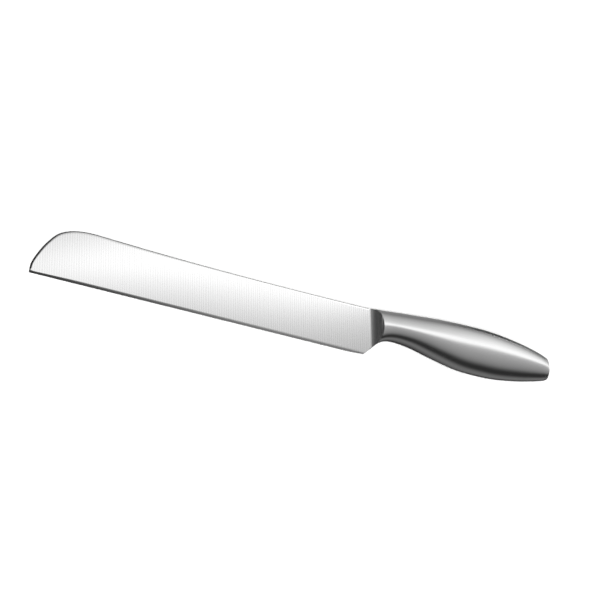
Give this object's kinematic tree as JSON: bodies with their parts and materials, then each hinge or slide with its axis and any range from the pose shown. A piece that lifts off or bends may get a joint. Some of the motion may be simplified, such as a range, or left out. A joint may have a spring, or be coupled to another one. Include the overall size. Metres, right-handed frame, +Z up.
{
  "type": "challah knife",
  "caption": "All-steel challah knife with a straight-edged, round-nosed blade, scooped bolster and fat seamless handle, lying on its side",
  "frame": {"origin": "middle of the knife's bounding box in plan, on the surface that it lies on", "axes": "+X from the tip to the butt, +Y from the cutting edge to the spine, +Z up through the upper flank"},
  "size_m": [0.3378, 0.0346, 0.0214],
  "materials": {
    "steel": "blade fine-ground across its width, handle and bolster satin polished lengthwise"
  },
  "bodies": {
    "root": {"knife": "steel"}
  },
  "joints": []
}
